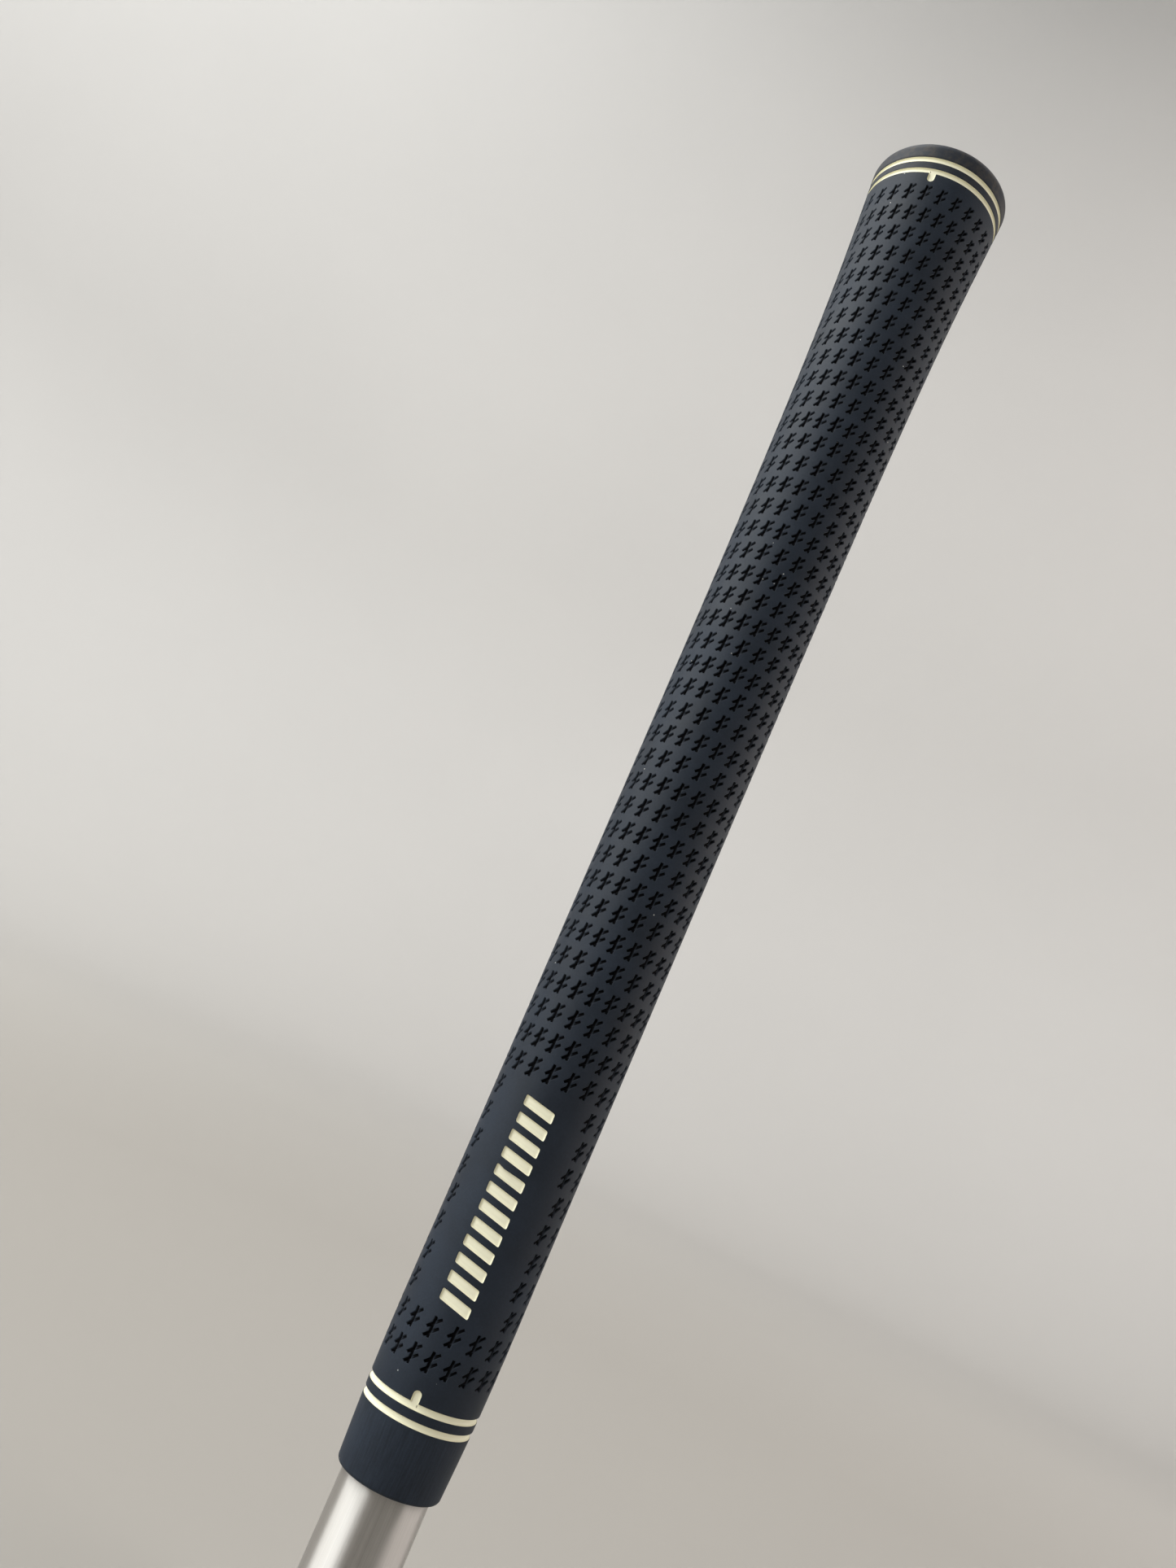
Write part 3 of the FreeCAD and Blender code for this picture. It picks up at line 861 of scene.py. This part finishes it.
def moulded_rubber(colours, name):
    """Moulded thermoplastic rubber, matte: fine grain from the mould and a grey bloom on top.

    The eye gets a soft sheen on the flanks and a cloudy blue-black face. The recesses
    are painted shade: their colour darkens to nearly black with depth.
    """
    material, tree, place = new_material(name)
    cloud = put(tree, "TexNoise", {"Vector": place, "Scale": every(11.1), "Detail": 4.0, "Roughness": 0.6})
    grain = put(tree, "TexNoise", {"Vector": place, "Scale": every(0.385), "Detail": 3.0, "Roughness": 0.65})
    # buffing marks run lengthwise, about 0.3 mm apart and 8 mm long
    long = put(tree, "Mapping", {"Vector": place, "Scale": (every(0.3125), every(0.3125), every(8.33))})
    streak = put(tree, "TexNoise", {"Vector": long, "Scale": 1.0, "Detail": 3.0, "Roughness": 0.6})
    scuff = put(tree, "TexNoise", {"Vector": place, "Scale": every(2.0), "Detail": 5.0, "Roughness": 0.7})
    shade = put(tree, "Attribute", attribute_name="shade")
    level = put(tree, "SeparateXYZ", {0: place})
    buffed = put(tree, "MapRange", [level.outputs["Z"], MOUTH + BUFFING_GONE, MOUTH + BUFFING_FULL])
    bloom = put(tree, "MapRange", [cloud, 0.3, 0.7, 0.72, 1.12])
    speck = put(tree, "MapRange", [grain, 0.35, 0.75, 0.92, 1.12])
    tone = put(tree, "Math", [bloom, speck], operation="MULTIPLY")
    line = put(tree, "MapRange", [streak, 0.35, 0.65, -0.16, 0.2])
    line = put(tree, "Math", [line, buffed, tone], operation="MULTIPLY_ADD")
    top = put(tree, "Mix", {0: line, 6: BLACK, 7: colours.rubber}, data_type="RGBA", clamp_factor=False)
    # hands and bags have browned the rubber from the upper rings to the butt, most in its scuffs
    handled = put(
        tree, "MapRange", [level.outputs["Z"], MOUTH + BROWNING_START, MOUTH + BROWNING_FULL, 0.0, 0.45]
    )
    worn = put(tree, "MapRange", [scuff, 0.45, 0.7, 0.25, 1.6])
    worn = put(tree, "Math", [worn, handled], operation="MULTIPLY", use_clamp=True)
    top = put(tree, "Mix", {0: worn, 6: top.outputs[2], 7: colours.scuffs}, data_type="RGBA")
    # painted shade: the deeper in a recess, the nearer the rubber's colour goes to the recess shade colour
    recess_shade_mask = put(tree, "MapRange", [shade.outputs["Fac"], 0.13, 0.4])
    base = put(tree, "Mix", {0: recess_shade_mask, 6: top.outputs[2], 7: colours.rubber_recess_shade}, data_type="RGBA")
    # dust: one grain in some cells about 3 mm wide, each grain about 0.2 mm across
    cell = put(tree, "TexVoronoi", {"Vector": place, "Scale": every(3.03)})
    near = put(tree, "Math", [cell, 0.038], operation="LESS_THAN")
    some = put(tree, "SeparateXYZ", {0: cell.outputs["Color"]})
    some = put(tree, "Math", [some.outputs["X"], 0.4], operation="LESS_THAN")
    dust = put(tree, "Math", [near, some], operation="MULTIPLY")
    dust = put(tree, "Math", [dust, 0.75], operation="MULTIPLY")
    base = put(tree, "Mix", {0: dust, 6: base.outputs[2], 7: colours.dust}, data_type="RGBA")
    rough = put(tree, "MapRange", [cloud, 0.3, 0.7, 0.50, 0.62])
    rough = put(tree, "Math", [recess_shade_mask, 0.45, rough], operation="MULTIPLY_ADD")
    relief = put(tree, "Math", [streak, buffed], operation="MULTIPLY")
    rise = put(tree, "Math", [grain, relief], operation="ADD")
    bump = put(tree, "Bump", {"Height": rise, "Strength": 0.35, "Distance": 0.05 * MM})
    shader = put(
        tree, "BsdfPrincipled",
        {"Base Color": base.outputs[2], "Roughness": rough, "Normal": bump, "Specular IOR Level": 0.22},
    )
    return finish_with(material, tree, shader)


def groove_enamel(colours):
    """Flexible cream enamel, wiped into the recesses: satin, and darker where it meets the rubber: painted
    shade along the recess walls.
    """
    material, tree, place = new_material("groove_enamel")
    cloud = put(tree, "TexNoise", {"Vector": place, "Scale": every(1.43), "Detail": 4.0, "Roughness": 0.6})
    orange_peel = put(tree, "TexNoise", {"Vector": place, "Scale": every(0.556), "Detail": 2.0})
    shade = put(tree, "Attribute", attribute_name="shade")
    # painted shade: the enamel darkens towards its edges, where it meets the rubber walls
    edge_shade_mix = put(tree, "MapRange", [shade.outputs["Fac"], 0.55, 1.0, 0.0, 0.8])
    edge_shade_mix = put(tree, "Math", [edge_shade_mix, cloud], operation="MULTIPLY")
    base = put(tree, "Mix", {0: edge_shade_mix, 6: colours.paint, 7: colours.paint_shade}, data_type="RGBA")
    bump = put(tree, "Bump", {"Height": orange_peel, "Strength": 0.25, "Distance": 0.04 * MM})
    rough = put(tree, "MapRange", [cloud, 0.0, 1.0, 0.38, 0.55])
    shader = put(tree, "BsdfPrincipled", {"Base Color": base.outputs[2], "Roughness": rough, "Normal": bump})
    return finish_with(material, tree, shader)


def polished_steel(colours):
    """Chrome-plated steel tube, belt polished along its length: bright with fine lengthwise lines.

    The real lines are some hundredths of a millimetre apart. They are drawn
    about 0.15 mm apart, as coarse as they need to be to show.
    """
    material, tree, place = new_material("polished_steel")
    lines = put(tree, "Mapping", {"Vector": place, "Scale": (every(0.154), every(0.154), every(22.2))})
    line = put(tree, "TexNoise", {"Vector": lines, "Scale": 1.0, "Detail": 4.0, "Roughness": 0.7})
    broad = put(tree, "Mapping", {"Vector": place, "Scale": (every(1.11), every(1.11), every(50.0))})
    band = put(tree, "TexNoise", {"Vector": broad, "Scale": 1.0, "Detail": 2.0})
    tone = put(tree, "MapRange", [line, 0.3, 0.7, 0.86, 1.0])
    base = put(tree, "Mix", {0: tone, 6: BLACK, 7: colours.steel}, data_type="RGBA")
    rough = put(tree, "MapRange", [band, 0.3, 0.7, 0.44, 0.52])
    bump = put(tree, "Bump", {"Height": line, "Strength": 0.2, "Distance": 0.02 * MM})
    ground = put(tree, "Tangent", direction_type="RADIAL", axis="Z")
    shader = put(
        tree, "BsdfPrincipled",
        {
            "Base Color": base.outputs[2], "Metallic": 1.0, "Roughness": rough,
            "Anisotropic": 1.0, "Anisotropic Rotation": 0.25, "Tangent": ground, "Normal": bump,
        },
    )
    return finish_with(material, tree, shader)


def crepe_paper(colours):
    """Double-sided tape on a crepe paper carrier: dry and creamy, with fine wrinkles across it."""
    material, tree, place = new_material("crepe_paper")
    flat = put(tree, "Mapping", {"Vector": place, "Scale": (every(3.33), every(3.33), every(0.4))})
    wrinkle = put(tree, "TexNoise", {"Vector": flat, "Scale": 1.0, "Detail": 3.0, "Roughness": 0.6})
    fibre = put(tree, "TexNoise", {"Vector": place, "Scale": every(0.2), "Detail": 2.0})
    tone = put(tree, "Math", [wrinkle, fibre], operation="MULTIPLY")
    tone = put(tree, "MapRange", [tone, 0.1, 0.45, 0.75, 1.0])
    base = put(tree, "Mix", {0: tone, 6: BLACK, 7: colours.tape}, data_type="RGBA")
    bump = put(tree, "Bump", {"Height": wrinkle, "Strength": 0.6, "Distance": 0.06 * MM})
    shader = put(tree, "BsdfPrincipled", {"Base Color": base.outputs[2], "Roughness": 0.85, "Normal": bump})
    return finish_with(material, tree, shader)


def painted_board(colours):
    """Matt emulsion on the studio's floor and wall: faintly cloudy, no sheen, warmer underfoot."""
    material, tree, place = new_material("painted_board")
    cloud = put(tree, "TexNoise", {"Vector": place, "Scale": every(667.0), "Detail": 3.0})
    tone = put(tree, "MapRange", [cloud, 0.3, 0.7, 0.97, 1.0])
    shade = put(tree, "Attribute", attribute_name="shade")
    # the floor's tone fading into the wall's is partly painted light on the sweep's foot
    mixed = {0: shade.outputs["Fac"], 6: colours.wall, 7: colours.floor}
    paint = put(tree, "Mix", mixed, data_type="RGBA")
    base = put(tree, "Mix", {0: tone, 6: BLACK, 7: paint.outputs[2]}, data_type="RGBA")
    shader = put(
        tree, "BsdfPrincipled", {"Base Color": base.outputs[2], "Roughness": 1.0, "Specular IOR Level": 0.1}
    )
    return finish_with(material, tree, shader)


# --- studio ---


def build_studio():
    """Floor that sweeps up into a wall all round: a line of radius and level carried round the axis.

    The floor's darker tone fades into the wall's with the distance from the axis; where the
    fade lies is painted light, a lighter colour on the sweep's foot, which gets less light.
    """
    floor = np.stack([np.linspace(0.02, FLOOR_REACH, 16), np.zeros(16)], 1)
    sweep = arc((FLOOR_REACH, SWEEP_RADIUS), SWEEP_RADIUS, -90, 0, 32)[1:]
    levels = np.linspace(SWEEP_RADIUS + 0.2, WALL_TOP, 6)
    wall = np.stack([np.full(6, FLOOR_REACH + SWEEP_RADIUS), levels], 1)
    profile = np.concatenate([floor, sweep, wall])
    shell = Shell()
    shade = np.interp(profile[:, :1], [FLOOR_TONE_FULL, FLOOR_TONE_GONE], [1.0, 0.0])
    numbers = shell.add(lathe(profile, 96), None, shade)
    for low, high in zip(numbers, numbers[1:]):
        shell.band(high, low)
    middle = shell.add(np.zeros((1, 3)), None, 1.0)
    rim = numbers[0]
    shell.triangles.append(np.stack([rim, np.roll(rim, -1), np.full_like(rim, middle[0])], 1))
    return shell


def soft_light(name, place, aim, size, power, tint):
    """A rectangular area light that faces the aim point."""
    light = bpy.data.lights.new(name, "AREA")
    light.shape = "RECTANGLE"
    light.size, light.size_y = size
    light.energy, light.color = power, tint
    lamp = bpy.data.objects.new(name, light)
    lamp.visible_camera = False
    place = Vector(place)
    facing = (Vector(aim) - place).to_track_quat("-Z", "Y").to_matrix().to_4x4()
    lamp.matrix_world = Matrix.Translation(place) @ facing
    bpy.context.scene.collection.objects.link(lamp)


def set_camera(lens):
    """Camera close in front of the grip, below its middle: turned, tilted up from level, then rolled."""
    data = bpy.data.cameras.new("camera")
    data.lens, data.sensor_width, data.sensor_fit = lens, 36.0, "AUTO"
    data.clip_start, data.clip_end = 0.01, 20.0
    camera = bpy.data.objects.new("camera", data)
    turn = Matrix.Rotation(math.radians(CAMERA_TURN), 4, "Z")
    tilt = Matrix.Rotation(math.radians(90 + CAMERA_TILT), 4, "X")
    roll = Matrix.Rotation(math.radians(CAMERA_ROLL), 4, "Z")
    camera.matrix_world = Matrix.Translation(CAMERA_PLACE) @ turn @ tilt @ roll
    bpy.context.scene.collection.objects.link(camera)
    bpy.context.scene.camera = camera


# --- operators and panel ---


class GRIP_OT_sleeve(bpy.types.Operator):
    """Build the moulded rubber sleeve with its marks, ring grooves and label recesses"""

    bl_idname = "golf_grip.sleeve"
    bl_label = "Rubber Sleeve"

    def execute(self, context):
        project = context.scene.golf_grip
        build_sleeve(project.sizes, moulded_rubber(project.colours, "moulded_rubber"))
        return {"FINISHED"}


class GRIP_OT_paint(bpy.types.Operator):
    """Fill the ring grooves, the index ticks and the label's bars with cream enamel"""

    bl_idname = "golf_grip.paint"
    bl_label = "Groove Paint"

    def execute(self, context):
        project = context.scene.golf_grip
        sizes, enamel = project.sizes, groove_enamel(project.colours)
        upper, lower = sizes.upper_outer, sizes.lower_outer
        build_ring(sizes, "upper_outer_band", upper, -1, False, enamel)
        build_ring(sizes, "upper_index_band", upper - sizes.ring_pitch, -1, True, enamel)
        build_ring(sizes, "lower_index_band", lower + sizes.ring_pitch, 1, True, enamel)
        build_ring(sizes, "lower_outer_band", lower, 1, False, enamel)
        build_label(sizes, enamel)
        return {"FINISHED"}


class GRIP_OT_cap(bpy.types.Operator):
    """Build the hard rubber end cap with its dish and vent"""

    bl_idname = "golf_grip.cap"
    bl_label = "End Cap"

    def execute(self, context):
        project = context.scene.golf_grip
        build_cap(project.sizes, moulded_rubber(project.colours, "moulded_cap_rubber"))
        return {"FINISHED"}


class GRIP_OT_shaft(bpy.types.Operator):
    """Build the polished steel tube and dress the tape under the rubber"""

    bl_idname = "golf_grip.shaft"
    bl_label = "Shaft and Tape"

    def execute(self, context):
        colours = context.scene.golf_grip.colours
        build_shaft(polished_steel(colours))
        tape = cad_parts["grip_tape"]
        paper = crepe_paper(colours)
        for slot in tape.material_slots:
            slot.material = paper
        return {"FINISHED"}


class GRIP_OT_studio(bpy.types.Operator):
    """Set up the pale floor and wall, the soft lights and the camera"""

    bl_idname = "golf_grip.studio"
    bl_label = "Studio"

    def execute(self, context):
        project = context.scene.golf_grip
        studio = project.studio
        mesh = build_studio().mesh("studio_wall", painted_board(project.colours), 60)
        wall = bpy.data.objects.new("studio_wall", mesh)
        context.scene.collection.objects.link(wall)
        grip = (0.0, 0.0, 0.15)
        wall_left, wall_right = (-2.3, 1.6, 1.15), (2.1, 1.6, 0.9)
        soft_light("key", (-1.07, -0.43, 0.68), grip, (1.7, 1.05), studio.key, (0.98, 1.0, 0.99))
        soft_light("fill", (0.85, 0.1, 0.4), grip, (1.1, 0.7), studio.fill, (1.0, 0.93, 0.90))
        soft_light("wall_wash", (-1.5, 0.0, 2.8), wall_left, (1.8, 1.8), studio.wash, (0.965, 0.99, 1.0))
        soft_light("side_wash", (1.3, 0.4, 2.6), wall_right, (1.5, 1.5), studio.side, (1.0, 0.95, 0.94))
        world = bpy.data.worlds.new("studio_air")
        world.use_nodes = True
        sky = world.node_tree.nodes["Background"]
        sky.inputs["Color"].default_value = WHITE
        sky.inputs["Strength"].default_value = studio.ambient
        context.scene.world = world
        context.scene.view_settings.view_transform = "Standard"
        set_camera(studio.lens)
        return {"FINISHED"}


class GRIP_PT_pieces(bpy.types.Panel):
    """Lists the grip's pieces in the 3D view's sidebar"""

    bl_idname = "GRIP_PT_pieces"
    bl_label = "Golf Grip"
    bl_space_type = "VIEW_3D"
    bl_region_type = "UI"
    bl_category = "Golf Grip"

    def draw(self, context):
        for operator in OPERATORS:
            self.layout.operator(operator.bl_idname)
        project = context.scene.golf_grip
        for group in (project.sizes, project.colours, project.studio):
            box = self.layout.box()
            for name in group.__annotations__:
                box.prop(group, name)


OPERATORS = (GRIP_OT_sleeve, GRIP_OT_paint, GRIP_OT_cap, GRIP_OT_shaft, GRIP_OT_studio)
CLASSES = (GripSizes, GripColours, StudioSettings, GripProject, *OPERATORS, GRIP_PT_pieces)


def register():
    for kind in CLASSES:
        bpy.utils.register_class(kind)
    bpy.types.Scene.golf_grip = PointerProperty(type=GripProject)


def unregister():
    del bpy.types.Scene.golf_grip
    for kind in reversed(CLASSES):
        bpy.utils.unregister_class(kind)


def main():
    register()
    for operator in OPERATORS:
        getattr(bpy.ops.golf_grip, operator.bl_idname.split(".")[1])()


if __name__ == "__main__":
    main()
